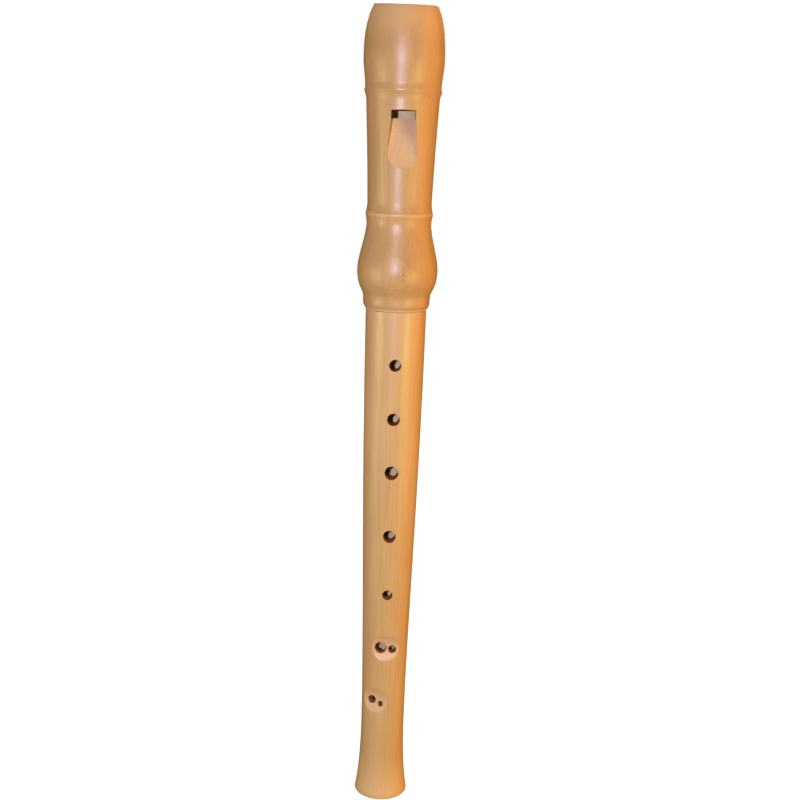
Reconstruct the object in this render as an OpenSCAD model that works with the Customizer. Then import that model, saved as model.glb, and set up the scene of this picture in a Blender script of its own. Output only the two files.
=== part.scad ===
// Soprano recorder in two turned joints, standing on its foot.
// Origin: centre of the foot's end. +Z: up the bore to the beak. -Y: the side with the window and finger holes.

/* [Overall] */
// Length from the tip of the beak to the end of the foot
total_len = 325.5; // [322:0.5:330]
// Length of the head joint
head_len = 115.8; // [114:0.1:117]
// Hairline between the head joint and the body's shoulder
joint_gap = 0.1; // [0.05:0.05:0.3]

/* [Head joint] */
// Radius turned just above the tip of the beak, before its end face is cut
tip_r = 12.4; // [12.2:0.1:12.8]
// Slope of the tip's end face, in degrees down towards the front
tip_slope = 6; // [0:0.5:7]
// Largest radius of the beak
beak_r = 15.72; // [15.3:0.02:16.2]
// Radius of the upper bead
upper_bead_r = 15; // [14.9:0.02:15.2]
// Radius just under the upper bead
neck_top_r = 14.24; // [14:0.02:14.5]
// Radius just over the lower bead
neck_low_r = 12.62; // [12.4:0.02:12.8]
// Radius of the lower bead
lower_bead_r = 13.28; // [13.1:0.02:13.6]
// Largest radius of the bulge around the socket
bulge_r = 15.96; // [15.6:0.02:16.4]
// Radius of the collar at the mouth of the socket
collar_r = 13.26; // [13.1:0.02:13.6]
// Radius of the bore through the head joint
head_bore_r = 6.5; // [6.3:0.05:6.7]

/* [Beak and windway] */
// Thickness left at the tip, from that radius to the cut at the back
tip_thickness = 9.4; // [9.2:0.1:10.2]
// Radius of the hollow cut across the back of the beak
beak_cut_r = 35; // [34:0.5:37]
// Distance from the tip to the end of the windway, which is the top of the window
windway_len = 39; // [38:0.1:39.5]
// Width of the windway where it opens into the window
windway_exit_w = 9.5; // [9:0.1:10]
// Width of the windway at the tip of the beak
windway_entry_w = 11.4; // [10:0.1:11.6]
// Height of the windway where it opens into the window
windway_exit_h = 1.2; // [1:0.05:1.3]
// Height of the windway at the tip of the beak
windway_entry_h = 1.7; // [1.4:0.05:1.8]

/* [Window and ramp] */
// Distance along the bore from the windway to the lip
cut_up = 3.25; // [2.8:0.05:3.6]
// Distance from the lip to the lower end of the ramp
ramp_len = 18.5; // [18:0.1:19]
// Width across the lower end of the ramp
ramp_end_w = 11.5; // [11:0.1:12]
// Depth of the ramp's floor below the outside at its lower end
ramp_end_depth = 0.35; // [0.2:0.05:0.6]

/* [Body joint] */
// Radius of the body at the shoulder
shoulder_r = 12.1; // [11.9:0.05:12.3]
// Smallest radius of the body, above the flare of the foot
waist_r = 9.08; // [8.9:0.02:9.2]
// Height of the waist above the foot's end
waist_z = 33.8; // [32:0.1:35]
// Radius of the foot's rim
foot_r = 11.1; // [10.9:0.05:11.4]
// Radius of the bore at the top of the tenon
body_bore_top_r = 6.2; // [6:0.05:6.4]
// Radius of the bore at its narrowest, above the foot
body_bore_low_r = 4.8; // [4.6:0.05:4.9]
// Radius of the straight bore in the end of the foot
foot_bore_r = 5; // [4.95:0.01:5.2]
// Length of the straight bore in the end of the foot
foot_bore_len = 12; // [10:0.5:14]

/* [Tenon and cork] */
// Length of the tenon
tenon_len = 22; // [20:0.5:22]
// Radius of the tenon's two wooden lands
tenon_r = 9.05; // [8.9:0.05:9.1]
// Radius of the floor of the recess that holds the cork
recess_r = 8; // [7.8:0.05:8.2]
// Length of the cork along the tenon
cork_len = 16.5; // [15:0.5:17]
// Radius of the socket
socket_r = 9.25; // [9.2:0.01:9.3]
// Depth of the socket
socket_depth = 22.5; // [22.4:0.1:23]

/* [Finger holes] */
// Heights of the five single holes above the foot's end, from the lowest up
single_z = [92.1, 117.5, 144.4, 166.5, 188.4];
// Diameters of the five single holes, from the lowest up
single_d = [4.3, 5.2, 5.7, 5.1, 4.8];
// Height of the thumb hole at the back
thumb_z = 199; // [197:0.5:201]
// Diameter of the thumb hole
thumb_d = 5.2; // [4.8:0.1:5.6]
// Heights of the two paired holes, lowest first
pair_z = [44.3, 68.0];
// Turn of each pair towards the player's little finger, lowest first
pair_turn = [26, 0];
// Diameter of the larger and of the smaller hole in each pair, lowest pair first
pair_d = [[3.5, 2.4], [5.0, 3.4]];
// Place of the larger and of the smaller hole from the centre of each hollow, across and up
pair_offset = [[[-1.8, -0.3], [2.2, -1.55]], [[-1.95, 0.2], [2.85, -0.5]]];
// Depth of the hollow around a pair
hollow_depth = 1.7; // [1.3:0.1:1.8]
// Radius of the cutter that sweeps the hollow
hollow_r = 8.8; // [7.5:0.1:9.5]

/* [Hidden] */
$fn = 96;
overcut = 2;
shoulder_z = total_len - head_len - joint_gap;
head_base_z = total_len - head_len;
// Stations along the head, as distances below the tip of the beak
beak_at = 18.3;
upper_groove_at = 29.4;
upper_bead_at = 31.75;
neck_at = 34.6;
neck_end_at = 74.6;
lower_bead_at = 78.5;
bulge_foot_at = 82.2;
bulge_at = 100.3;
collar_at = 111.3;
collar_edge_at = 113.3;
// Width of the flat on each bead's crest
crest_w = 0.25;
// Spare length turned above the tip, which the end face then takes off
tip_spare = 0.5;
// Radii beside the beads and at the collar's end
upper_groove_r = upper_bead_r - 0.23;
bulge_foot_r = neck_low_r + 0.12;
collar_end_r = collar_r - 1;
// Small roundings
foot_round = 0.7;
shoulder_round = 0.35;
edge_bevel = 0.5;
// Running clearances of the pieces that slide or turn
block_clear = 0.03;
cork_clear = 0.03;
cork_r = socket_r - 0.07;
// The beak's cut: a level cylinder whose axis lies behind and a little above the tip
cut_above_tip = 3;
cut_axis_z = total_len + cut_above_tip;
tip_back_y = tip_thickness - tip_r;
cut_axis_y = tip_back_y + sqrt(pow(beak_cut_r, 2) - pow(cut_above_tip, 2));
// Levels across the windway and the ramp, all on the front side of the bore
windway_floor_y = -6.15;
windway_entry_floor_y = -6.35;
lip_y = -6.9;
lip_thickness = 0.25;
window_top_z = total_len - windway_len;
lip_z = window_top_z - cut_up;
ramp_end_z = lip_z - ramp_len;
neck_at_ramp_end_r = 13.05;
ramp_end_y = ramp_end_depth - neck_at_ramp_end_r;
window_arch = 0.15;
// How square the ramp's lower end is: 2 is a half circle
ramp_end_power = 2.3;
undercut_len = 14;
undercut_end_y = -4.2;
// The wooden lands and the cork's recess, as heights
tenon_top_z = shoulder_z + tenon_len;
recess_low_z = shoulder_z + 2;
recess_top_z = recess_low_z + cork_len;
// Outer radius of the body around each pair of holes, lowest first
pair_wall_r = [9.15, 9.45];
// How far the cutters reach past the outside
reach = 25;

// Points of a cubic curve from a to d with handles b and c, without its last point
function curve(a, b, c, d, steps = 8) = [
    for (i = [0:steps - 1])
        let (t = i / steps, u = 1 - t)
            pow(u, 3) * a + 3 * pow(u, 2) * t * b + 3 * u * pow(t, 2) * c + pow(t, 3) * d
];

// A bead: a slow flare from the start to its foot, a small step up to the crest, and a hollow run to the end
function bead(start, crest, end) =
    let (
        rise = crest[0] - start[0],
        foot = [start[0] + rise * 0.68, crest[1] - 0.65],
        run = foot[1] - start[1],
        crest_end = crest + [0, crest_w],
        low_handle = [end[0] * 0.7 + crest[0] * 0.3, crest[1] + 1.3]
    )
    concat(
        curve(start, start + [0, run * 0.2], foot - [rise * 0.3, run * 0.4], foot, 4),
        curve(foot, foot + [rise * 0.15, 0.25], crest - [0, 0.35], crest, 3),
        curve(crest_end, crest_end + [0, 0.35], low_handle, end, 5)
    );

// Turned outline of the head as [radius, distance below the tip]
head_outline = concat(
    curve([tip_r, -tip_spare], [14.8, 4.6], [beak_r, 11], [beak_r, beak_at]),
    curve([beak_r, beak_at], [beak_r, 22.2], [15.64, 20.5], [upper_groove_r, upper_groove_at]),
    bead([upper_groove_r, upper_groove_at], [upper_bead_r, upper_bead_at], [neck_top_r, neck_at]),
    curve([neck_top_r, neck_at], [13.57, 47.5], [13, 60], [neck_low_r, neck_end_at]),
    bead([neck_low_r, neck_end_at], [lower_bead_r, lower_bead_at], [bulge_foot_r, bulge_foot_at]),
    curve([bulge_foot_r, bulge_foot_at], [bulge_foot_r, 87.1], [bulge_r, 95.6], [bulge_r, bulge_at]),
    curve([bulge_r, bulge_at], [bulge_r, 107.6], [collar_r, 108.7], [collar_r, collar_at]),
    curve([collar_r, collar_edge_at], [collar_r, 114.2], [12.85, 114.9], [collar_end_r, head_len], 5),
    [[collar_end_r, head_len]]
);

// Turned outline of the body as [radius, height above the foot's end]
body_outline = concat(
    curve([foot_r - foot_round, 0], [foot_r - foot_round / 2, 0], [foot_r, foot_round / 2], [foot_r, foot_round], 4),
    curve([foot_r, foot_round], [8.95, 12.4], [waist_r, 29], [waist_r, waist_z]),
    curve([waist_r, waist_z], [waist_r, 72], [11.9, 132], [shoulder_r, shoulder_z - shoulder_round]),
    [[shoulder_r, shoulder_z - shoulder_round], [shoulder_r - shoulder_round, shoulder_z]]
);

// Tapered bore of the body as [radius, height], straight in the end of the foot
body_bore = [
    [0, -overcut],
    [foot_bore_r + edge_bevel + overcut, -overcut],
    [foot_bore_r, edge_bevel],
    [foot_bore_r, foot_bore_len],
    [body_bore_low_r, foot_bore_len + 14],
    [body_bore_top_r, tenon_top_z],
    [body_bore_top_r, tenon_top_z + overcut],
    [0, tenon_top_z + overcut]
];

// Extrudes an outline drawn as [y, z] evenly to both sides of the middle plane
module across(width) {
    translate([-width / 2, 0, 0])
        rotate([90, 0, 90])
            linear_extrude(height = width)
                children();
}

// Extrudes an outline drawn as [x, z] from the axis out through the front
module through_front() {
    rotate([90, 0, 0])
        linear_extrude(height = reach)
            children();
}

// Cuts of the beak: the hollow across its back, and the sloping end face of its tip
module beak_cut() {
    translate([-reach, cut_axis_y, cut_axis_z])
        rotate([0, 90, 0])
            cylinder(r = beak_cut_r, h = 2 * reach);
    translate([0, tip_back_y, total_len])
        rotate([tip_slope, 0, 0])
            translate([-reach, -reach, 0])
                cube([2 * reach, 2 * reach, reach]);
}

// Front view of the windway, wider at the tip; grow is added to every side
module windway_plan(grow, low_z) {
    exit_half = windway_exit_w / 2 + grow;
    entry_half = windway_entry_w / 2 + grow;
    polygon([
        [-exit_half, low_z], [exit_half, low_z], [exit_half, window_top_z],
        [entry_half, total_len + overcut], [-entry_half, total_len + overcut], [-exit_half, window_top_z]
    ]);
}

// Channel cut in the wall over the block, whose roof rises towards the tip
module windway_channel() {
    roof_y = windway_floor_y - windway_exit_h;
    entry_roof_y = windway_entry_floor_y - windway_entry_h;
    intersection() {
        across(reach) polygon([
            [0, window_top_z - overcut], [roof_y - edge_bevel - overcut, window_top_z - overcut],
            [roof_y, window_top_z + edge_bevel], [entry_roof_y, total_len + overcut], [0, total_len + overcut]
        ]);
        through_front() windway_plan(0, window_top_z - overcut);
    }
}

// Pushes a point of the unit circle outwards along one axis, towards a square
function swell(c) = sign(c) * pow(abs(c), 2 / ramp_end_power);

// Front view of the window and ramp: a slightly arched top, flaring sides and a squarish round lower end
module ramp_plan() {
    half_top = windway_exit_w / 2;
    half_end = ramp_end_w / 2;
    round_z = ramp_end_z + half_end;
    arch_z = window_top_z - window_arch;
    polygon(concat(
        curve([-half_top, arch_z], [-half_top / 3, arch_z + window_arch * 4 / 3],
            [half_top / 3, arch_z + window_arch * 4 / 3], [half_top, arch_z], 4),
        [[half_top, arch_z], [half_top, lip_z]],
        [for (a = [0:-15:-180]) half_end * [swell(cos(a)), swell(sin(a))] + [0, round_z]],
        [[-half_top, lip_z]]
    ));
}

// Space cut for the window, down to the bore, and for the ramp below the lip
module window_cut() {
    intersection() {
        across(reach) polygon([
            [0, window_top_z + overcut], [0, lip_z], [lip_y, lip_z],
            [ramp_end_y, ramp_end_z], [-reach, ramp_end_z - overcut], [-reach, window_top_z + overcut]
        ]);
        through_front() ramp_plan();
    }
}

// Flat underside of the lip, which runs out into the bore
module lip_undercut() {
    across(windway_exit_w) polygon([
        [0, lip_z + overcut], [lip_y + lip_thickness, lip_z + overcut],
        [lip_y + lip_thickness, lip_z], [undercut_end_y, lip_z - undercut_len], [0, lip_z - undercut_len]
    ]);
}

module head_joint() color([0.87, 0.66, 0.47]) {
    difference() {
        rotate_extrude() polygon(concat(
            [[0, total_len + tip_spare]],
            [for (p = head_outline) [p[0], total_len - p[1]]],
            [[0, head_base_z]]
        ));
        translate([0, 0, head_base_z - overcut])
            cylinder(r = head_bore_r, h = head_len + 2 * overcut);
        translate([0, 0, head_base_z - overcut])
            cylinder(r = socket_r, h = socket_depth + overcut);
        translate([0, 0, head_base_z - overcut])
            cylinder(r1 = socket_r + edge_bevel + overcut, r2 = socket_r, h = edge_bevel + overcut);
        beak_cut();
        windway_channel();
        window_cut();
        lip_undercut();
    }
}

module windway_block() color([0.74, 0.52, 0.38]) {
    difference() {
        union() {
            translate([0, 0, window_top_z])
                cylinder(r = head_bore_r - block_clear, h = windway_len + tip_spare);
            intersection() {
                across(reach) polygon([
                    [0, window_top_z], [windway_floor_y + edge_bevel, window_top_z],
                    [windway_floor_y, window_top_z + edge_bevel], [windway_entry_floor_y, total_len],
                    [windway_entry_floor_y, total_len + tip_spare], [0, total_len + tip_spare]
                ]);
                through_front() windway_plan(-block_clear, window_top_z);
            }
        }
        // The round plug is planed down to the level of the windway's floor
        across(reach) polygon([
            [-reach, window_top_z - overcut], [windway_floor_y + edge_bevel + overcut, window_top_z - overcut],
            [windway_floor_y, window_top_z + edge_bevel], [windway_entry_floor_y, total_len],
            [windway_entry_floor_y, total_len + overcut], [-reach, total_len + overcut]
        ]);
        beak_cut();
    }
}

// Hollow swept across a pair of holes by a level cutter, on the front before it is turned into place
module pair_hollow(z, wall_r) {
    translate([-reach, -(wall_r - hollow_depth + hollow_r), z])
        rotate([0, 90, 0])
            cylinder(r = hollow_r, h = 2 * reach);
}

// Straight hole from the bore out through the front
module drilled(x, z, d) {
    translate([x, 0, z])
        rotate([90, 0, 0])
            cylinder(d = d, h = reach);
}

module body_joint() color([0.85, 0.64, 0.4]) {
    difference() {
        rotate_extrude() polygon(concat(
            [[0, 0]],
            body_outline,
            [
                [tenon_r, shoulder_z], [tenon_r, recess_low_z],
                [recess_r, recess_low_z], [recess_r, recess_top_z],
                [tenon_r, recess_top_z], [tenon_r, tenon_top_z - edge_bevel],
                [tenon_r - edge_bevel, tenon_top_z], [0, tenon_top_z]
            ]
        ));
        rotate_extrude() polygon(body_bore);
        for (i = [0:len(single_z) - 1])
            drilled(0, single_z[i], single_d[i]);
        rotate([0, 0, 180])
            drilled(0, thumb_z, thumb_d);
        for (i = [0:len(pair_z) - 1])
            rotate([0, 0, -pair_turn[i]]) {
                pair_hollow(pair_z[i], pair_wall_r[i]);
                for (k = [0:1])
                    drilled(pair_offset[i][k][0], pair_z[i] + pair_offset[i][k][1], pair_d[i][k]);
            }
    }
}

module tenon_cork() color([0.72, 0.52, 0.33]) {
    rotate_extrude() polygon([
        [recess_r + cork_clear, recess_low_z + cork_clear],
        [cork_r - edge_bevel, recess_low_z + cork_clear],
        [cork_r, recess_low_z + cork_clear + edge_bevel],
        [cork_r, recess_top_z - cork_clear - edge_bevel],
        [cork_r - edge_bevel, recess_top_z - cork_clear],
        [recess_r + cork_clear, recess_top_z - cork_clear]
    ]);
}

head_joint();
windway_block();
body_joint();
tenon_cork();
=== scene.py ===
import math

import bmesh
import bpy
import numpy as np
from mathutils import Matrix, Vector
from mathutils.bvhtree import BVHTree
from mathutils.interpolate import poly_3d_calc


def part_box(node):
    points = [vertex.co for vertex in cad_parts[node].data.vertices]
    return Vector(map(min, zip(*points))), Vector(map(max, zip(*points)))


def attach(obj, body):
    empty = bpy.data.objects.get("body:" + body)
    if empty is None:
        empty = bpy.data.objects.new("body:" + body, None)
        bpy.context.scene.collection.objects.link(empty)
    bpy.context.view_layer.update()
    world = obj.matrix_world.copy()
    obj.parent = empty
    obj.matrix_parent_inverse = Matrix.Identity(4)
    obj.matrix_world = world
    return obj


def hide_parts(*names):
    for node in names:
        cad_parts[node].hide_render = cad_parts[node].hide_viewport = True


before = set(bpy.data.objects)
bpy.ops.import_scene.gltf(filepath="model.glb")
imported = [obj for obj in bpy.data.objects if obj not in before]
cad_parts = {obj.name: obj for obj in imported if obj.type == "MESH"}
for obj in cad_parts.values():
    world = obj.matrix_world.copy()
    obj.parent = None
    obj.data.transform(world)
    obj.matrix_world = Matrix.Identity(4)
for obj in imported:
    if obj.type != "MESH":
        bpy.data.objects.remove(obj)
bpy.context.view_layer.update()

# A soprano recorder, standing on its foot. Lengths are in millimetres, and times MM they are the metres
# that Blender takes. +Z runs up the bore, and the window and the finger holes face -Y.
MM = 0.001
SEGMENTS = 192            # round a turned surface
BORE_SEGMENTS = 96
OVERCUT = 2.0             # how far a cutter reaches past the surface it opens
CLEARANCE = 0.03          # round the block and inside the cork
# Slot numbers that a face keeps through the cuts: turned outside, bore, or another cut
SKIN, BORE, CUT = 0, 1, 2

# ---------------------------------------------------------------- levels and sizes from the frame
def top_mm(node):
    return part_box(node)[1].z / MM


def low_mm(node):
    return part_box(node)[0].z / MM


TIP_Z = top_mm("head_joint")
HEAD_LOW_Z = low_mm("head_joint")
TENON_TOP_Z = top_mm("body_joint")
WINDOW_TOP_Z = low_mm("windway_block")
CORK_LOW_Z = low_mm("tenon_cork")
CORK_TOP_Z = top_mm("tenon_cork")
CORK_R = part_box("tenon_cork")[1].x / MM

# Head joint
HEAD_BORE_R = 6.5
SOCKET_R = 9.25
SOCKET_DEPTH = 22.5
LOWER_BEAD_Z = TIP_Z - 78.5
BULGE_Z = TIP_Z - 100.3
TIP_R = 12.55
TIP_BACK_Y = -3.0         # where the tip's end face meets the beak's cut
TIP_SLOPE = math.radians(6.0)
TIP_ROUND = 0.35
BEAK_EDGE_ROUND = 0.5
BEAK_CUT_R = 35.0
CUT_ABOVE_TIP = 3.0
BEAK_AXIS_Z = TIP_Z + CUT_ABOVE_TIP
BEAK_AXIS_Y = TIP_BACK_Y + math.sqrt(BEAK_CUT_R**2 - CUT_ABOVE_TIP**2)
BEAK_LEN = 29.5
TIP_CENTRE_Y = -7.6
TILT_LEN = 9.0
# Windway, window and ramp
WINDWAY_EXIT_HALF = 4.75
WINDWAY_ENTRY_HALF = 5.7
FLOOR_Y = -6.15
FLOOR_ENTRY_Y = -6.35
ROOF_Y = FLOOR_Y - 1.2
ROOF_ENTRY_Y = FLOOR_ENTRY_Y - 1.7
CHAMFER = 0.5
LIP_Z = WINDOW_TOP_Z - 3.25
LIP_Y = -6.9
LIP_THICKNESS = 0.25
RAMP_END_Z = LIP_Z - 18.5
RAMP_END_HALF = 5.75
RAMP_END_Y = -12.7
RAMP_END_POWER = 2.3      # 2 would be a half circle
WINDOW_ARCH = 0.15
UNDERCUT_LEN = 14.0
UNDERCUT_END_Y = -4.2
BLOCK_R = HEAD_BORE_R - CLEARANCE
# Body joint
SHOULDER_Z = HEAD_LOW_Z - 0.1
TENON_R = 9.05
RECESS_R = 8.0
RECESS_LOW_Z = SHOULDER_Z + 2.0
RECESS_TOP_Z = RECESS_LOW_Z + 16.5
FOOT_BORE = ((5.0, 12.0), (4.8, 26.0), (6.2, TENON_TOP_Z))
# Finger holes: height, diameter
SINGLE_HOLES = ((92.1, 4.3), (117.5, 5.2), (144.4, 5.7), (166.5, 5.1), (188.4, 4.8))
THUMB_HOLE = (199.0, 5.2)
# Paired holes: height, turn in degrees, radius of the wall, then across, up and diameter of each hole
PAIRS = (
    (44.3, 26.0, 9.15, ((-1.8, -0.3, 3.5), (2.2, -1.55, 2.4))),
    (68.0, 0.0, 9.45, ((-1.95, 0.2, 5.0), (2.85, -0.5, 3.4))),
)
HOLLOW_DEPTH = 1.7
HOLLOW_R = 8.8


# ---------------------------------------------------------------- meshes
def mesh_object(name, verts, faces, slots=None):
    """A mesh object in metres from points in millimetres."""
    mesh = bpy.data.meshes.new(name)
    mesh.from_pydata((np.asarray(verts) * MM).tolist(), [], faces)
    if slots is not None:
        mesh.polygons.foreach_set("material_index", slots)
    mesh.update()
    obj = bpy.data.objects.new(name, mesh)
    bpy.context.scene.collection.objects.link(obj)
    return obj


def rings_mesh(name, rings, slot=SKIN):
    """A closed solid through a stack of rings with equal numbers of points, and a flat cap at each end."""
    count = len(rings[0])
    verts = np.concatenate(rings)
    faces = []
    for k in range(len(rings) - 1):
        a, b = k * count, (k + 1) * count
        for i in range(count):
            j = (i + 1) % count
            faces.append((a + i, a + j, b + j, b + i))
    faces.append(tuple(range(count - 1, -1, -1)))
    last = (len(rings) - 1) * count
    faces.append(tuple(range(last, last + count)))
    return mesh_object(name, verts, faces, [slot] * len(faces))


def circle(count=SEGMENTS):
    """Directions round the axis, starting half a step from the front so that both sides match."""
    a = (np.arange(count) + 0.5) * 2 * math.pi / count
    return np.cos(a), np.sin(a)


def turned(name, outline, slot, count):
    """A closed solid turned from an outline of (radius, height), from the lowest point up."""
    cos, sin = circle(count)
    rings = [np.stack([r * cos, r * sin, np.full(count, z)], 1) for r, z in outline]
    return rings_mesh(name, rings, slot)


def wedge_x(name, outline, half_width):
    """A closed solid: an outline of (y, z) spread evenly to both sides; half_width is a function of z."""
    count = len(outline)
    verts = [(-half_width(z), y, z) for y, z in outline] + [(half_width(z), y, z) for y, z in outline]
    faces = [tuple(range(count)), tuple(range(2 * count - 1, count - 1, -1))]
    for i in range(count):
        j = (i + 1) % count
        faces.append((i, i + count, j + count, j))
    return mesh_object(name, verts, faces, [CUT] * len(faces))


def outward(obj):
    """Turns every face of a closed mesh outwards."""
    bm = bmesh.new()
    bm.from_mesh(obj.data)
    bmesh.ops.recalc_face_normals(bm, faces=bm.faces)
    bm.to_mesh(obj.data)
    bm.free()
    return obj


def carve(obj, cutters):
    """Takes the cutters out of obj, exactly. Each face keeps the slot number of the surface it came from."""
    outward(obj)
    for cutter in cutters:
        outward(cutter)
        cut = obj.modifiers.new(cutter.name, "BOOLEAN")
        cut.operation = "DIFFERENCE"
        cut.solver = "EXACT"
        cut.object = cutter
    graph = bpy.context.evaluated_depsgraph_get()
    carved = bpy.data.meshes.new_from_object(obj.evaluated_get(graph))
    obj.modifiers.clear()
    obj.data = carved
    for cutter in cutters:
        bpy.data.objects.remove(cutter)


SMOOTH_ANGLE = math.radians(32)
INWARD = 0.03             # share of the way from a corner to its face's middle, where a surface is looked up


def corner_normals(mesh):
    """The normal at each face corner, with every edge steeper than SMOOTH_ANGLE kept sharp."""
    mesh.polygons.foreach_set("use_smooth", [True] * len(mesh.polygons))
    mesh.set_sharp_from_angle(angle=SMOOTH_ANGLE)
    out = np.zeros(len(mesh.loops) * 3)
    mesh.corner_normals.foreach_get("vector", out)
    return out.reshape(-1, 3)


def keep_turned_normals(obj, sources):
    """Gives each face that was left of an uncut surface the normals that the surface had before it was cut.

    sources maps a slot number to a copy of that uncut surface's mesh and a sign, -1 for a cutter's."""
    mesh = obj.data
    normals = corner_normals(mesh)
    for slot, (source, sign) in sources.items():
        base = corner_normals(source)
        polys = [tuple(p.vertices) for p in source.polygons]
        starts = [p.loop_start for p in source.polygons]
        points = [v.co.copy() for v in source.vertices]
        tree = BVHTree.FromPolygons(points, polys)
        for poly in mesh.polygons:
            if poly.material_index != slot:
                continue
            centre = poly.center
            for li in poly.loop_indices:
                p = mesh.vertices[mesh.loops[li].vertex_index].co
                probe = p.lerp(centre, INWARD)
                found = tree.find_nearest(probe)
                if found[0] is None:
                    continue
                face = found[2]
                count = len(polys[face])
                if count > 4:
                    normals[li] = sign * base[starts[face]]
                    continue
                weights = poly_3d_calc([points[i] for i in polys[face]], found[0])
                normals[li] = sign * sum(w * base[starts[face] + k] for k, w in enumerate(weights))
    lengths = np.linalg.norm(normals, axis=1)
    normals /= np.where(lengths > 0, lengths, 1)[:, None]
    mesh.normals_split_custom_set(normals.tolist())


# ---------------------------------------------------------------- turned outlines, read from the frame
def monotone_curve(x, y):
    """The smooth curve through the points that never overshoots them, as a function."""
    h = np.diff(x)
    d = np.diff(y) / h
    m = np.zeros(len(x))
    m[0], m[-1] = d[0], d[-1]
    for i in range(1, len(x) - 1):
        if d[i - 1] * d[i] > 0:
            w1, w2 = 2 * h[i] + h[i - 1], h[i] + 2 * h[i - 1]
            m[i] = (w1 + w2) / (w1 / d[i - 1] + w2 / d[i])

    def value(q):
        q = np.clip(np.asarray(q, float), x[0], x[-1])
        i = np.clip(np.searchsorted(x, q) - 1, 0, len(x) - 2)
        t = (q - x[i]) / h[i]
        return (
            (1 + 2 * t) * (1 - t) ** 2 * y[i] + t * (1 - t) ** 2 * h[i] * m[i]
            + t * t * (3 - 2 * t) * y[i + 1] + t * t * (t - 1) * h[i] * m[i + 1]
        )

    return value


CLEAR_FROM, CLEAR_TO = -50, -20      # degrees round from +X, where neither node has a cut


def turned_outline(node, least_r, top_z):
    """The levels of the rings on a CAD node's outside and the radius there, where no cut reaches."""
    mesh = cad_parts[node].data
    v = np.zeros(len(mesh.vertices) * 3)
    mesh.vertices.foreach_get("co", v)
    v = v.reshape(-1, 3) / MM
    r = np.hypot(v[:, 0], v[:, 1])
    angle = np.degrees(np.arctan2(v[:, 1], v[:, 0]))
    keep = (angle > CLEAR_FROM) & (angle < CLEAR_TO) & (r > least_r) & (v[:, 2] < top_z + 0.01)
    z = np.round(v[keep, 2], 2)
    levels = np.unique(z)
    return levels, np.array([r[keep][z == level].max() for level in levels])


def fill_levels(levels, step):
    """The levels with more between them, so that none is further from the next than step(level)."""
    out = [levels[0]]
    for a, b in zip(levels[:-1], levels[1:]):
        count = max(1, math.ceil((b - a) / step((a + b) / 2) - 1e-6))
        out += [a + (b - a) * (i + 1) / count for i in range(count)]
    return np.array(out)


def round_max(a, b, r):
    """The larger of two distances, with the edge between them rounded to radius r."""
    return np.minimum(-r, np.maximum(a, b)) + np.hypot(np.maximum(r + a, 0), np.maximum(r + b, 0))


def smooth_min(a, b, k):
    """The smaller of two distances, blended where they differ by less than k."""
    h = np.maximum(k - np.abs(a - b), 0) / k
    return np.minimum(a, b) - h * h * k / 4


# ---------------------------------------------------------------- head joint
def beak_cut_distance(y, z):
    """How far a point lies inside the hollow cut across the back of the beak."""
    return BEAK_CUT_R - np.hypot(y - BEAK_AXIS_Y, z - BEAK_AXIS_Z)


def above_tip(y, z):
    """How far a point lies above the plane of the tip's end face."""
    return (z - TIP_Z) * math.cos(TIP_SLOPE) - (y - TIP_BACK_Y) * math.sin(TIP_SLOPE)


def head_skin():
    """The outside of the head as one closed solid: turned below, and hollowed at the back of the beak."""
    inside_r, last_level = 11.0, TIP_Z - 1.2
    fine, coarse, edge_rings = 0.45, 1.5, 8
    levels, radii = turned_outline("head_joint", inside_r, last_level)
    radius = monotone_curve(np.append(levels, TIP_Z), np.append(radii, TIP_R))
    beak_low_z = TIP_Z - BEAK_LEN

    def step(z):
        return fine if z > beak_low_z else coarse

    below = fill_levels(np.append(levels, TIP_Z - BEAK_EDGE_ROUND), step)
    quarter_turn = np.linspace(0, math.pi / 2, edge_rings + 1)[1:]
    tip = TIP_Z - BEAK_EDGE_ROUND * (1 - np.sin(quarter_turn))
    cos, sin = circle()
    rings = []
    beyond, halvings = 30.0, 40
    for z in np.append(below, tip):
        if z < beak_low_z:
            r = radius(z)
            rings.append(np.stack([r * cos, r * sin, np.full(SEGMENTS, z)], 1))
            continue
        share = (z - beak_low_z) / BEAK_LEN
        centre_y = TIP_CENTRE_Y * share * share * (3 - 2 * share)
        # The rings tilt little by little towards the end face
        tilt = min(max((z - TIP_Z + TILT_LEN) / (TILT_LEN - BEAK_EDGE_ROUND), 0), 1)
        tilt = tilt * tilt * (3 - 2 * tilt) * math.tan(TIP_SLOPE)
        # Halve the distance again and again to find the surface in each direction
        near, far = np.zeros(SEGMENTS), np.full(SEGMENTS, beyond)
        for _ in range(halvings):
            t = (near + far) / 2
            x, y = t * cos, centre_y + t * sin
            height = z + tilt * (y - TIP_BACK_Y)
            cut = round_max(beak_cut_distance(y, height), above_tip(y, height), TIP_ROUND)
            inside = round_max(np.hypot(x, y) - radius(height), cut, BEAK_EDGE_ROUND) <= 1e-6
            near, far = np.where(inside, t, near), np.where(inside, far, t)
        y = centre_y + near * sin
        rings.append(np.stack([near * cos, y, z + tilt * (y - TIP_BACK_Y)], 1))
    return rings_mesh("head_joint_wood", rings)


def windway_half(z):
    """Half the windway's width, which grows from the window to just past the tip."""
    share = (z - WINDOW_TOP_Z) / (TIP_Z + OVERCUT - WINDOW_TOP_Z)
    return WINDWAY_EXIT_HALF + (WINDWAY_ENTRY_HALF - WINDWAY_EXIT_HALF) * share


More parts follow.
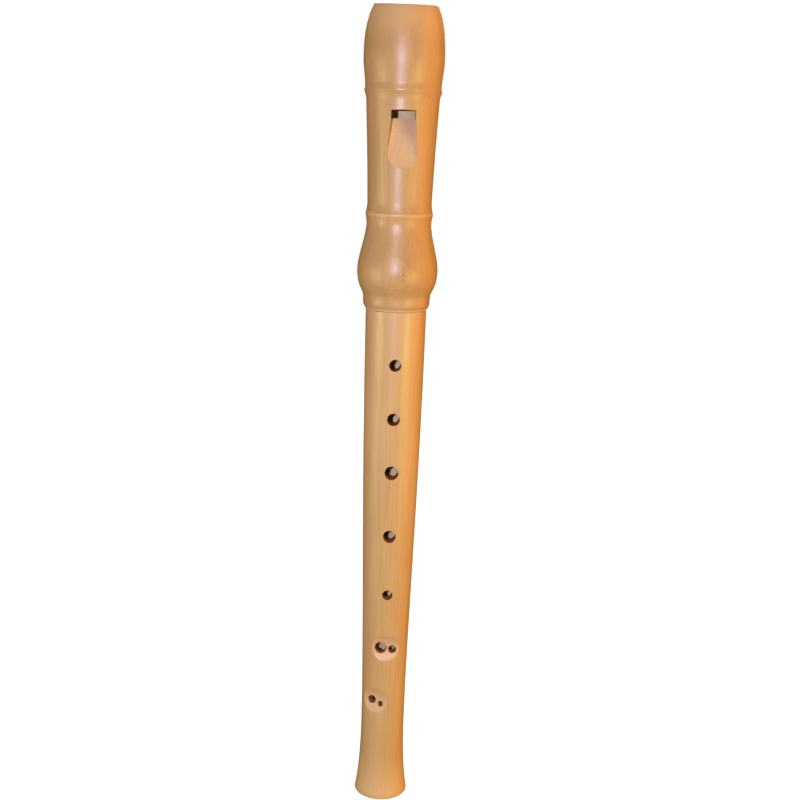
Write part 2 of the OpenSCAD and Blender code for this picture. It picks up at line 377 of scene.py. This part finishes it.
def windway_cutter():
    """The windway between the block and the front wall, with a chamfer where its roof meets the window."""
    low, high = WINDOW_TOP_Z - OVERCUT, TIP_Z + OVERCUT
    outline = [
        (0, low), (ROOF_Y - CHAMFER - OVERCUT, low), (ROOF_Y, WINDOW_TOP_Z + CHAMFER),
        (ROOF_ENTRY_Y, high), (0, high),
    ]
    return wedge_x("windway_cutter", outline, windway_half)


def ramp_y(z):
    """Depth of the ramp's floor at a height."""
    return LIP_Y + (RAMP_END_Y - LIP_Y) * (LIP_Z - z) / (LIP_Z - RAMP_END_Z)


def window_cutter():
    """The window, down to the bore, and the ramp below the lip: one solid with a step at the lip."""
    arch = []
    for x in np.linspace(-1, 1, 17):
        arch.append((x * WINDWAY_EXIT_HALF, WINDOW_TOP_Z - WINDOW_ARCH * x * x))
    round_z = RAMP_END_Z + RAMP_END_HALF
    end = []
    for a in np.linspace(0, -math.pi, 33):
        across, down = (math.copysign(abs(c) ** (2 / RAMP_END_POWER), c) for c in (math.cos(a), math.sin(a)))
        end.append((RAMP_END_HALF * across, round_z + RAMP_END_HALF * down))
    side = []
    for share in (0.33, 0.66):
        z = LIP_Z + (round_z - LIP_Z) * share
        side.append((WINDWAY_EXIT_HALF + (RAMP_END_HALF - WINDWAY_EXIT_HALF) * share, z))
    lower = side + end + [(-x, z) for x, z in reversed(side)]
    front, bore = -25.0, 0.0
    n_arch, n_low = len(arch), len(lower)
    right, left = (WINDWAY_EXIT_HALF, LIP_Z), (-WINDWAY_EXIT_HALF, LIP_Z)
    loop = arch + [right] + lower + [left]
    verts = [(x, front, z) for x, z in loop]
    base_arch = len(verts)
    verts += [(x, bore, z) for x, z in arch]
    right_bore, left_bore = len(verts), len(verts) + 1
    verts += [(right[0], bore, LIP_Z), (left[0], bore, LIP_Z)]
    right_lip, left_lip = len(verts), len(verts) + 1
    verts += [(right[0], LIP_Y, LIP_Z), (left[0], LIP_Y, LIP_Z)]
    base_low = len(verts)
    verts += [(x, ramp_y(z), z) for x, z in lower]
    # Where the two ends of the lip come in the front loop
    right_front, left_front = n_arch, n_arch + 1 + n_low
    faces = [tuple(range(len(loop)))]
    faces += [(i, i + 1, base_arch + i + 1, base_arch + i) for i in range(n_arch - 1)]
    faces.append((n_arch - 1, right_front, right_lip, right_bore, base_arch + n_arch - 1))
    faces.append((right_front, right_front + 1, base_low, right_lip))
    for i in range(n_low - 1):
        faces.append((right_front + 1 + i, right_front + 2 + i, base_low + i + 1, base_low + i))
    faces.append((left_front - 1, left_front, left_lip, base_low + n_low - 1))
    faces.append((left_front, 0, base_arch, left_bore, left_lip))
    faces.append(tuple(base_arch + i for i in range(n_arch)) + (right_bore, left_bore))
    faces.append((right_bore, right_lip, left_lip, left_bore))
    faces.append((right_lip,) + tuple(base_low + i for i in range(n_low)) + (left_lip,))
    return mesh_object("window_cutter", verts, faces, [CUT] * len(faces))


def undercut_cutter():
    """The slope under the lip that leaves it thin. A hair narrower than the window, so no faces coincide."""
    high, low = LIP_Z + OVERCUT, LIP_Z - UNDERCUT_LEN
    under_lip_y = LIP_Y + LIP_THICKNESS
    outline = [(0, high), (under_lip_y, high), (under_lip_y, LIP_Z), (UNDERCUT_END_Y, low), (0, low)]
    return wedge_x("undercut_cutter", outline, lambda z: WINDWAY_EXIT_HALF - 0.001)


def head_bore_outline():
    """The socket, with a chamfered mouth, and the bore above it."""
    reach = 3.0
    socket_top = HEAD_LOW_Z + SOCKET_DEPTH
    return [
        (SOCKET_R + CHAMFER + reach, HEAD_LOW_Z - reach), (SOCKET_R, HEAD_LOW_Z + CHAMFER),
        (SOCKET_R, socket_top), (HEAD_BORE_R, socket_top), (HEAD_BORE_R, TIP_Z + reach),
    ]


def make_head():
    """The head joint, with the bore, windway and window cut out and its turned surfaces kept smooth."""
    head = outward(head_skin())
    skin = head.data.copy()
    bore = outward(turned("head_bore_cutter", head_bore_outline(), BORE, BORE_SEGMENTS))
    bore_skin = bore.data.copy()
    carve(head, [bore, windway_cutter(), window_cutter(), undercut_cutter()])
    keep_turned_normals(head, {SKIN: (skin, 1), BORE: (bore_skin, -1)})
    return head


# ---------------------------------------------------------------- windway block
def make_block():
    """The cedar plug: round, with a raised track for the windway's floor, and cut level with the beak."""
    rings = []
    around, halfway = 72, WINDOW_TOP_Z + 20.0
    for z in (WINDOW_TOP_Z, WINDOW_TOP_Z + CHAMFER, halfway, TIP_Z + CHAMFER):
        share = (z - WINDOW_TOP_Z) / (TIP_Z - WINDOW_TOP_Z)
        half = windway_half(z) - CLEARANCE
        floor = FLOOR_Y + (FLOOR_ENTRY_Y - FLOOR_Y) * share
        if z == WINDOW_TOP_Z:
            floor += CHAMFER
        side_y = -math.sqrt(BLOCK_R**2 - half**2)
        start = math.atan2(side_y, half)
        sweep = np.linspace(start, math.pi - start, around)
        ring = [(BLOCK_R * math.cos(a), BLOCK_R * math.sin(a), z) for a in sweep]
        ring += [(x * half, floor, z) for x in (-1.0, -0.5, 0.0, 0.5, 1.0)]
        rings.append(np.array(ring))
    block = rings_mesh("windway_block_cedar", rings)
    reach, wide = 40.0, 20.0
    beak = []
    for a in np.linspace(0, 2 * math.pi, 289)[:-1]:
        beak.append((BEAK_AXIS_Y + BEAK_CUT_R * math.cos(a), BEAK_AXIS_Z + BEAK_CUT_R * math.sin(a)))
    rise = reach * math.tan(TIP_SLOPE)
    front, back = TIP_BACK_Y - reach, TIP_BACK_Y + reach
    above = [(front, TIP_Z - rise), (back, TIP_Z + rise), (front, TIP_Z + rise)]
    cutters = []
    for name, outline in (("beak_cutter", beak), ("tip_cutter", above)):
        cutters.append(wedge_x(name, outline, lambda z: wide))
    carve(block, cutters)
    block.data.normals_split_custom_set(corner_normals(block.data).tolist())
    return block


# ---------------------------------------------------------------- body joint
def hollow_radius(cos, sin, z):
    """Distance from the axis to the hollows swept across the paired holes, in each direction."""
    outside, least_facing = 99.0, 0.3
    best = np.full(len(cos), outside)
    for height, turn, wall_r, _ in PAIRS:
        if abs(z - height) > HOLLOW_R - 0.01:
            continue
        a = math.radians(-90 - turn)
        facing = cos * math.cos(a) + sin * math.sin(a)
        floor = wall_r - HOLLOW_DEPTH + HOLLOW_R - math.sqrt(HOLLOW_R**2 - (z - height) ** 2)
        reached = floor / np.maximum(facing, least_facing)
        best = np.minimum(best, np.where(facing > least_facing, reached, outside))
    return best


def body_skin():
    """The outside of the body and its tenon as one closed solid, with the hollows round the paired holes."""
    inside_r, hollow_edge = 8.8, 0.3
    fine, coarse, hollow_reach = 0.33, 2.0, 6.5
    levels, radii = turned_outline("body_joint", inside_r, SHOULDER_Z)
    radius = monotone_curve(levels, radii)

    def step(z):
        near_pair = any(abs(z - pair[0]) < hollow_reach for pair in PAIRS)
        return fine if near_pair else coarse

    cos, sin = circle()
    rings = []
    for z in fill_levels(levels, step):
        r = smooth_min(np.full(SEGMENTS, radius(z)), hollow_radius(cos, sin, z), hollow_edge)
        rings.append(np.stack([r * cos, r * sin, np.full(SEGMENTS, z)], 1))
    tenon = (
        (TENON_R, SHOULDER_Z), (TENON_R, RECESS_LOW_Z), (RECESS_R, RECESS_LOW_Z), (RECESS_R, RECESS_TOP_Z),
        (TENON_R, RECESS_TOP_Z), (TENON_R, TENON_TOP_Z - CHAMFER), (TENON_R - CHAMFER, TENON_TOP_Z),
    )
    rings += [np.stack([r * cos, r * sin, np.full(SEGMENTS, z)], 1) for r, z in tenon]
    return rings_mesh("body_joint_wood", rings)


def body_bore_outline():
    """The bore from the foot up, with a chamfer at the foot's end."""
    (foot_r, foot_z), (low_r, low_z), (top_r, top_z) = FOOT_BORE
    return [
        (foot_r + CHAMFER + OVERCUT, -OVERCUT), (foot_r, CHAMFER), (foot_r, foot_z), (low_r, low_z),
        (top_r, top_z), (top_r, top_z + OVERCUT),
    ]


def drill(name, across, z, diameter, turn=0.0, back=False):
    """A round cutter from the bore's middle out through the wall."""
    count, reach, r = 64, 25.0, diameter / 2
    a = (np.arange(count) + 0.5) * 2 * math.pi / count
    near = np.stack([across + r * np.cos(a), np.zeros(count), z + r * np.sin(a)], 1)
    far = near + np.array([0, reach if back else -reach, 0])
    cos, sin = math.cos(math.radians(-turn)), math.sin(math.radians(-turn))
    turned_about = np.array([[cos, sin, 0], [-sin, cos, 0], [0, 0, 1]])
    return rings_mesh(name, [near @ turned_about, far @ turned_about], CUT)


def make_body():
    """The body joint, with the bore and the finger holes cut out and its turned surfaces kept smooth."""
    body = outward(body_skin())
    skin = body.data.copy()
    bore = outward(turned("body_bore_cutter", body_bore_outline(), BORE, BORE_SEGMENTS))
    bore_skin = bore.data.copy()
    cutters = [bore]
    cutters += [drill(f"drill_{i}", 0, z, d) for i, (z, d) in enumerate(SINGLE_HOLES)]
    cutters.append(drill("drill_thumb", 0, *THUMB_HOLE, back=True))
    for i, (height, turn, _, holes) in enumerate(PAIRS):
        for k, (across, up, d) in enumerate(holes):
            cutters.append(drill(f"drill_pair_{i}_{k}", across, height + up, d, turn))
    carve(body, cutters)
    keep_turned_normals(body, {SKIN: (skin, 1), BORE: (bore_skin, -1)})
    return body


# ---------------------------------------------------------------- cork
def make_cork():
    """The cork lapping: a thin sleeve with softened edges and the scarf where its ends meet."""
    inner = RECESS_R + CLEARANCE
    bevel, corner_in, corner_up = 0.45, 0.12, 0.15
    scarf_turn, scarf_lean, scarf_width, scarf_depth = math.radians(60), 0.03, 0.03, 0.16
    outline = [
        (inner, CORK_LOW_Z), (CORK_R - bevel, CORK_LOW_Z), (CORK_R - corner_in, CORK_LOW_Z + corner_up),
        (CORK_R, CORK_LOW_Z + bevel),
    ]
    outline += [(CORK_R, z) for z in np.linspace(CORK_LOW_Z + bevel, CORK_TOP_Z - bevel, 24)[1:-1]]
    outline += [
        (CORK_R, CORK_TOP_Z - bevel), (CORK_R - corner_in, CORK_TOP_Z - corner_up),
        (CORK_R - bevel, CORK_TOP_Z), (inner, CORK_TOP_Z),
    ]
    count = 144
    a = (np.arange(count) + 0.5) * 2 * math.pi / count
    rings = []
    for r, z in outline:
        seam = (a - scarf_turn - (z - CORK_LOW_Z) * scarf_lean) / scarf_width
        dip = scarf_depth * np.exp(-seam * seam) if r > inner else 0
        rings.append(np.stack([(r - dip) * np.cos(a), (r - dip) * np.sin(a), np.full(count, z)], 1))
    verts = np.concatenate(rings)
    faces = []
    n = len(rings)
    for k in range(n):
        b0, b1 = k * count, ((k + 1) % n) * count
        for i in range(count):
            j = (i + 1) % count
            faces.append((b0 + i, b0 + j, b1 + j, b1 + i))
    cork = mesh_object("tenon_cork_sleeve", verts, faces)
    outward(cork)
    cork.data.normals_split_custom_set(corner_normals(cork.data).tolist())
    return cork


# ---------------------------------------------------------------- materials
class Graph:
    """Short calls for building one material's nodes."""

    def __init__(self, name):
        self.material = bpy.data.materials.new(name)
        self.material.use_nodes = True
        self.tree = self.material.node_tree
        self.tree.nodes.clear()

    def add(self, kind, inputs=(), **settings):
        node = self.tree.nodes.new(kind)
        for key, value in settings.items():
            setattr(node, key, value)
        for key, value in dict(inputs).items():
            self.put(node.inputs[key], value)
        return node

    def put(self, socket, value):
        if isinstance(value, bpy.types.NodeSocket):
            self.tree.links.new(value, socket)
        else:
            socket.default_value = value

    def math(self, operation, a, b=0.0):
        return self.add("ShaderNodeMath", {0: a, 1: b}, operation=operation).outputs[0]

    def plus(self, a, b):
        return self.math("ADD", a, b)

    def times(self, a, b):
        return self.math("MULTIPLY", a, b)

    def point(self):
        """The point in millimetres, in the piece's own frame."""
        place = self.add("ShaderNodeTexCoord").outputs["Object"]
        return self.add("ShaderNodeVectorMath", {0: place, 3: 1 / MM}, operation="SCALE").outputs[0]

    def stretched(self, point, scale):
        return self.add("ShaderNodeVectorMath", {0: point, 1: scale}, operation="MULTIPLY").outputs[0]

    def minus(self, point, place):
        return self.add("ShaderNodeVectorMath", {0: point, 1: place}, operation="SUBTRACT").outputs[0]

    def length(self, point):
        return self.add("ShaderNodeVectorMath", {0: point}, operation="LENGTH").outputs["Value"]

    def parts(self, point):
        """The X, Y and Z of a point, by name."""
        return self.add("ShaderNodeSeparateXYZ", {0: point}).outputs

    def noise(self, point, scale=1.0, detail=2.0, rough=0.5):
        inputs = {"Vector": point, "Scale": scale, "Detail": detail, "Roughness": rough}
        return self.add("ShaderNodeTexNoise", inputs).outputs["Fac"]

    def ramp(self, value, low, high, to_low=0.0, to_high=1.0, smooth=True):
        kind = "SMOOTHSTEP" if smooth else "LINEAR"
        inputs = {"Value": value, "From Min": low, "From Max": high, "To Min": to_low, "To Max": to_high}
        return self.add("ShaderNodeMapRange", inputs, interpolation_type=kind).outputs[0]

    def mix(self, share, a, b):
        node = self.add("ShaderNodeMix", data_type="RGBA")
        self.put(node.inputs[0], share)
        self.put(node.inputs[6], a)
        self.put(node.inputs[7], b)
        return node.outputs[2]

    def finish(self, shader):
        out = self.add("ShaderNodeOutputMaterial")
        self.tree.links.new(shader, out.inputs["Surface"])
        return self.material


def srgb(r, g, b):
    """A colour given as it looks, from 0 to 255, for a shader."""
    def linear(c):
        c /= 255
        return c / 12.92 if c <= 0.04045 else ((c + 0.055) / 1.055) ** 2.4
    return (linear(r), linear(g), linear(b), 1.0)


def years(g, p, pith, slope, spacing, phase):
    """How many growth rings lie between a point and a pith at (x, y). The slope leans them up the bore."""
    inputs = {"Vector": g.stretched(p, (0.06, 0.06, 0.014)), "Scale": 1.0, "Detail": 1.0}
    drift = g.add("ShaderNodeTexNoise", inputs).outputs["Color"]
    push = g.minus(drift, (0.5, 0.5, 0.5))
    push = g.add("ShaderNodeVectorMath", {0: push, 3: 1.2}, operation="SCALE").outputs[0]
    warped = g.add("ShaderNodeVectorMath", {0: p, 1: push}, operation="ADD").outputs[0]
    away = g.length(g.stretched(g.minus(warped, (*pith, 0)), (1, 1, 0)))
    leaning = g.plus(away, g.times(g.parts(p)["Z"], slope))
    return g.plus(g.math("DIVIDE", leaning, spacing), phase)


# Marks on a wood, some of them painted light or shade: each gives how much of its colour shows at a point,
# and the colour
def hollow_mark(g, p):
    """The cut wood in the hollows across the paired holes."""
    at = g.parts(p)
    share = 0.0
    for height, turn, wall_r, _ in PAIRS:
        a = math.radians(-90 - turn)
        facing = g.plus(g.times(at["X"], math.cos(a)), g.times(at["Y"], math.sin(a)))
        out = g.math("SUBTRACT", facing, wall_r - HOLLOW_DEPTH + HOLLOW_R)
        up = g.math("SUBTRACT", at["Z"], height)
        away = g.math("SQRT", g.plus(g.times(out, out), g.times(up, up)))
        share = g.plus(share, g.ramp(away, HOLLOW_R - 0.08, HOLLOW_R + 0.12, 1.0, 0.0))
    return g.times(share, 0.8), srgb(232, 186, 150)


def collar_highlight(g, p):
    """The thin pale line along the socket's lower edge: a painted highlight, where the gathered lacquer
    catches the light.
    """
    return g.ramp(g.parts(p)["Z"], HEAD_LOW_Z + 0.55, HEAD_LOW_Z + 0.85, 0.6, 0.0), srgb(246, 206, 156)


def bead_highlight(g, p):
    """A painted highlight: a paler line along the lower bead's crest."""
    off = g.math("ABSOLUTE", g.math("SUBTRACT", g.parts(p)["Z"], LOWER_BEAD_Z))
    return g.ramp(off, 0.3, 0.8, 0.32, 0.0), srgb(250, 198, 130)


def knot_mark(g, p):
    """Two red-brown pin knots on the front of the bulge."""
    share = 0.0
    for x, up, r in ((1.7, -0.7, 0.5), (1.6, -2.6, 0.36)):
        off = g.minus(p, (x, 0.0, BULGE_Z + up))
        front = g.math("LESS_THAN", g.parts(off)["Y"], 0.0)
        away = g.length(g.stretched(off, (1, 0, 0.7)))
        share = g.plus(share, g.times(front, g.ramp(away, r * 0.3, r, 0.6, 0.0)))
    return share, srgb(168, 84, 50)


def lip_mark(g, p):
    """The ramp is greyer towards the lip and its +X side, with a faint darker line of painted shade where
    the chisel left a slight change of slope.
    """
    at = g.parts(p)
    lip_greying = g.ramp(g.plus(at["Z"], at["X"]), LIP_Z - 8.0, LIP_Z + 3.0, 0.0, 0.4)
    # The faint darker line across the ramp is painted shade of a slight change of slope
    wave = g.noise(g.stretched(p, (0.3, 0.3, 0.3)), 1.0, 2.0)
    bent = g.plus(at["Z"], g.times(wave, 1.2))
    off = g.math("ABSOLUTE", g.math("SUBTRACT", bent, LIP_Z - 4.4))
    return g.math("MAXIMUM", lip_greying, g.ramp(off, 0.1, 0.35, 0.3, 0.0)), srgb(186, 152, 124)


def end_light(g, p):
    """Paler wood towards the tip and the foot's rim: painted light, standing in for the light from above on
    their upward-facing surfaces.
    """
    z = g.parts(p)["Z"]
    tip = g.ramp(z, TIP_Z - 16.0, TIP_Z - 2.0, 0.0, 0.5)
    foot = g.ramp(z, 2.0, 22.0, 0.5, 0.0)
    return g.plus(tip, foot), srgb(245, 197, 142)


def wood(name, shades, grain, bare=False, flecks=0.0, marks=()):
    """Turned wood with growth rings and fibre streaks, lacquered or bare, with its marks and flecks if any.

    shades are the light, middle and dark wood and the line between years; grain is what years() takes."""
    light, middle, dark, line = (srgb(*shade) for shade in shades)
    g = Graph(name)
    p = g.point()
    year = g.math("FRACT", years(g, p, *grain))
    late_wood = g.times(g.math("POWER", year, 2.0), g.ramp(year, 0.94, 0.97, 1.0, 0.0))
    year_line = g.times(g.ramp(year, 0.94, 0.97), g.ramp(year, 0.98, 1.0, 1.0, 0.0))
    streak = g.noise(g.stretched(p, (1.3, 1.3, 0.02)), 1.0, 3.0, 0.6)
    fibre = g.noise(g.stretched(p, (6.0, 6.0, 0.16)), 1.0, 3.0, 0.65)
    cloud = g.noise(g.stretched(p, (0.1, 0.1, 0.03)), 1.0, 2.0)
    colour = g.mix(g.ramp(cloud, 0.3, 0.7), light, middle)
    colour = g.mix(g.times(late_wood, 0.12), colour, dark)
    colour = g.mix(g.times(year_line, 0.24), colour, line)
    colour = g.mix(g.ramp(streak, 0.45, 0.7, 0.0, 0.24), colour, dark)
    colour = g.mix(g.ramp(fibre, 0.45, 0.75, 0.0, 0.26), colour, dark)
    if flecks:
        spot = g.noise(g.stretched(p, (0.9, 0.9, 0.6)), 1.0, 1.0, 0.4)
        colour = g.mix(g.ramp(spot, 0.76, 0.80, 0.0, flecks), colour, srgb(164, 88, 52))
    for mark in marks:
        share, shade = mark(g, p)
        colour = g.mix(share, colour, shade)
    if bare:
        relief = g.plus(fibre, g.times(g.noise(p, 5.0, 3.0, 0.7), 0.8))
        strength, smoothest, roughest, specular, coat = 0.3, 0.74, 0.86, 0.25, 0.0
    else:
        lathe_marks = g.noise(g.stretched(p, (0.05, 0.05, 1.9)), 1.0, 2.0, 0.6)
        relief = g.plus(g.times(fibre, 0.5), g.times(lathe_marks, 1.5))
        strength, smoothest, roughest, specular, coat = 0.1, 0.36, 0.42, 0.55, 0.06
    bump = g.add("ShaderNodeBump", {"Height": relief, "Strength": strength, "Distance": 0.0001}).outputs[0]
    rough = g.ramp(fibre, 0.2, 0.8, smoothest, roughest, smooth=False)
    skin = g.add("ShaderNodeBsdfPrincipled", {"Base Color": colour, "Roughness": rough, "Normal": bump})
    skin.inputs["Specular IOR Level"].default_value = specular
    skin.inputs["Coat Weight"].default_value = coat
    skin.inputs["Coat Roughness"].default_value = 0.3
    return g.finish(skin.outputs[0])


def cork_material():
    """Granules of cork, each a little lighter or darker, with dark gaps and specks."""
    g = Graph("cork_granules")
    p = g.point()
    granules = {"Vector": p, "Scale": 1.1, "Randomness": 1.0}
    cells = g.add("ShaderNodeTexVoronoi", granules, feature="F1")
    gap = g.add("ShaderNodeTexVoronoi", granules, feature="DISTANCE_TO_EDGE").outputs["Distance"]
    shade = g.add("ShaderNodeSeparateColor", {0: cells.outputs["Color"]}).outputs[0]
    speck = g.noise(p, 3.5, 4.0, 0.7)
    colour = g.mix(shade, srgb(196, 152, 104), srgb(168, 122, 78))
    colour = g.mix(g.ramp(speck, 0.58, 0.72, 0.0, 0.75), colour, srgb(96, 62, 36))
    colour = g.mix(g.ramp(gap, 0.0, 0.08, 0.5, 0.0), colour, srgb(92, 60, 34))
    height = g.plus(g.ramp(gap, 0.0, 0.15), g.times(speck, -0.8))
    bump = g.add("ShaderNodeBump", {"Height": height, "Strength": 0.5, "Distance": 0.0002})
    skin = g.add("ShaderNodeBsdfPrincipled", {"Base Color": colour, "Normal": bump.outputs[0]})
    skin.inputs["Roughness"].default_value = 0.82
    return g.finish(skin.outputs[0])


def floor_material():
    """Pale and matt, and bright by itself, so that it stays even out to the backdrop."""
    g = Graph("pale_floor")
    mottle = g.noise(g.point(), 0.004, 3.0)
    colour = g.mix(mottle, (0.24, 0.24, 0.24, 1), (0.28, 0.28, 0.28, 1))
    skin = g.add("ShaderNodeBsdfPrincipled", {"Base Color": colour})
    skin.inputs["Roughness"].default_value = 0.9
    skin.inputs["Specular IOR Level"].default_value = 0.0
    skin.inputs["Emission Color"].default_value = (1, 1, 1, 1)
    skin.inputs["Emission Strength"].default_value = 1.0
    return g.finish(skin.outputs[0])


def set_materials(obj, by_slot):
    """Puts one material in place of each slot number that carve() left on the faces."""
    chosen = list(dict.fromkeys(by_slot.values()))
    index = {slot: chosen.index(material) for slot, material in by_slot.items()}
    mesh = obj.data
    slots = [index[p.material_index] for p in mesh.polygons]
    mesh.materials.clear()
    for material in chosen:
        mesh.materials.append(material)
    mesh.polygons.foreach_set("material_index", slots)
    mesh.update()


# ---------------------------------------------------------------- floor, light and camera
def make_floor():
    """A wide level floor that curves up into a backdrop on every side."""
    half, bend, height = 2400.0, 600.0, 2600.0
    around, bend_steps = 64, 12
    turn = np.arange(around) * 2 * math.pi / around
    outline = []
    for a in np.linspace(0, math.pi / 2, bend_steps):
        outline.append((half - bend + bend * math.sin(a), bend - bend * math.cos(a)))
    outline.append((half, height))
    verts = [(0, 0, 0)]
    for r, z in outline:
        verts += [(r * c, r * s, z) for c, s in zip(np.cos(turn), np.sin(turn))]
    faces = [(0, 1 + i, 1 + (i + 1) % around) for i in range(around)]
    for k in range(len(outline) - 1):
        a, b = 1 + k * around, 1 + (k + 1) * around
        faces += [(a + i, b + i, b + (i + 1) % around, a + (i + 1) % around) for i in range(around)]
    floor = mesh_object("floor", verts, faces)
    floor.data.polygons.foreach_set("use_smooth", [True] * len(faces))
    floor.data.materials.append(floor_material())
    floor.visible_diffuse = False
    floor.visible_glossy = False


# Lights that face the recorder: degrees round from the front towards +X, degrees up, distance, (width,
# height), strength as the brightness of a white card held at the recorder, and colour
LIGHTS_AIM_Z = 165.0
LIGHTS = {
    "key": (-9.8, 12.5, 560, (15, 15), 0.75, (0.66, 0.70, 1.0)),
    "low_front": (42.0, -6.0, 800, (300, 140), 0.32, (0.90, 1.0, 0.25)),
    "left": (-66.0, -5.0, 700, (300, 200), 0.37, (1.0, 0.86, 0.50)),
    "warm_right": (65.0, 6.0, 700, (300, 700), 0.52, (1.0, 0.28, 0.0)),
    "warm_side": (95.0, 6.0, 700, (300, 700), 0.30, (1.0, 0.36, 0.0)),
    "soft_back": (175.0, 30.0, 1000, (700, 700), 0.75, (1.0, 0.97, 0.92)),
}
WORLD_COLOUR = (1.0, 0.75, 0.30, 1.0)
WORLD_STRENGTH = 0.08


def make_lights():
    """The lights in the table, and a faint warm world."""
    for name, (azimuth, elevation, distance, size, strength, colour) in LIGHTS.items():
        a, e = math.radians(azimuth), math.radians(elevation)
        away = Vector((math.sin(a) * math.cos(e), -math.cos(a) * math.cos(e), math.sin(e)))
        lamp = bpy.data.lights.new(name, "AREA")
        lamp.shape = "RECTANGLE"
        lamp.size, lamp.size_y = size[0] * MM, size[1] * MM
        lamp.energy = strength * (math.pi * distance * MM) ** 2
        lamp.color = colour
        obj = bpy.data.objects.new(name, lamp)
        obj.location = (Vector((0, 0, LIGHTS_AIM_Z)) + away * distance) * MM
        obj.rotation_euler = (-away).to_track_quat("-Z", "Y").to_euler()
        bpy.context.scene.collection.objects.link(obj)
    world = bpy.data.worlds.new("studio")
    world.use_nodes = True
    background = world.node_tree.nodes["Background"]
    background.inputs[0].default_value = WORLD_COLOUR
    background.inputs[1].default_value = WORLD_STRENGTH
    bpy.context.scene.world = world


def make_camera():
    """A camera in front of the recorder, a little above its middle and looking slightly down."""
    data = bpy.data.cameras.new("camera")
    data.sensor_width = 36.0
    data.lens = 54.6
    data.clip_start, data.clip_end = 0.01, 20.0
    camera = bpy.data.objects.new("camera", data)
    distance, sideways, height = 481.5, 2.84, TIP_Z - 50.7
    pitch, roll, yaw = math.radians(12.03), math.radians(1.98), math.radians(2.4)
    place = Vector((-distance * math.sin(yaw) + sideways, -distance * math.cos(yaw), height)) * MM
    forward = Vector((math.sin(yaw), math.cos(yaw), 0)) * math.cos(pitch)
    forward.z = -math.sin(pitch)
    rotation = forward.to_track_quat("-Z", "Y").to_matrix() @ Matrix.Rotation(roll, 3, "Z")
    camera.matrix_world = Matrix.Translation(place) @ rotation.to_4x4()
    bpy.context.scene.collection.objects.link(camera)
    bpy.context.scene.camera = camera
    bpy.context.scene.view_settings.view_transform = "Standard"


# ---------------------------------------------------------------- the recorder
# What years() takes: the pith's (x, y), its slope, the width of a year, and the phase, which on the head
# brings the line between two years round to the front of the bulge
HEAD_GRAIN = ((10, 62), -0.0134, 3.6, 0.194)
BODY_GRAIN = ((-9, 70), 0.004, 3.0, 0.0)
CEDAR_GRAIN = ((30, 25), 0.0, 0.9, 0.0)
# Light, middle and dark wood, and the line between two years
HEAD_LACQUER = ((207, 163, 109), (201, 155, 102), (171, 112, 65), (232, 182, 146))
BODY_LACQUER = ((219, 176, 123), (213, 168, 113), (180, 126, 72), (222, 172, 116))
CUT_WOOD = ((230, 190, 146), (222, 180, 136), (196, 150, 108), (232, 194, 152))
HOLE_WOOD = ((184, 120, 74), (172, 108, 64), (136, 80, 44), (188, 126, 82))
BORE_WOOD = ((240, 212, 160), (234, 204, 152), (208, 176, 126), (242, 216, 166))
CEDAR = ((196, 138, 100), (178, 118, 82), (142, 84, 54), (150, 92, 62))


def place_piece(obj, node, body):
    """Puts a piece in place of its CAD node, on the same body."""
    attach(obj, body)
    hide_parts(node)


def make_recorder():
    """The four pieces with their materials."""
    # The collar and bead marks are painted highlights, and the end mark is painted light
    head_marks = (collar_highlight, bead_highlight, knot_mark, end_light)
    head_lacquer = wood("head_lacquered_wood", HEAD_LACQUER, HEAD_GRAIN, flecks=0.5, marks=head_marks)
    # The end mark is painted light on the tip and the foot's flare
    body_marks = (hollow_mark, end_light)
    body_lacquer = wood("body_lacquered_wood", BODY_LACQUER, BODY_GRAIN, marks=body_marks)
    cut_bare = wood("cut_bare_wood", CUT_WOOD, HEAD_GRAIN, bare=True, marks=(lip_mark,))
    hole_bare = wood("hole_bare_wood", HOLE_WOOD, BODY_GRAIN, bare=True)
    bore_bare = wood("bore_bare_wood", BORE_WOOD, BODY_GRAIN, bare=True)
    cedar = wood("cedar", CEDAR, CEDAR_GRAIN, bare=True)
    head = make_head()
    set_materials(head, {SKIN: head_lacquer, BORE: bore_bare, CUT: cut_bare})
    place_piece(head, "head_joint", "head")
    block = make_block()
    set_materials(block, {SKIN: cedar, CUT: cedar})
    place_piece(block, "windway_block", "block")
    body = make_body()
    set_materials(body, {SKIN: body_lacquer, BORE: bore_bare, CUT: hole_bare})
    place_piece(body, "body_joint", "body")
    cork = make_cork()
    cork.data.materials.append(cork_material())
    place_piece(cork, "tenon_cork", "cork")


make_camera()
make_floor()
make_lights()
make_recorder()
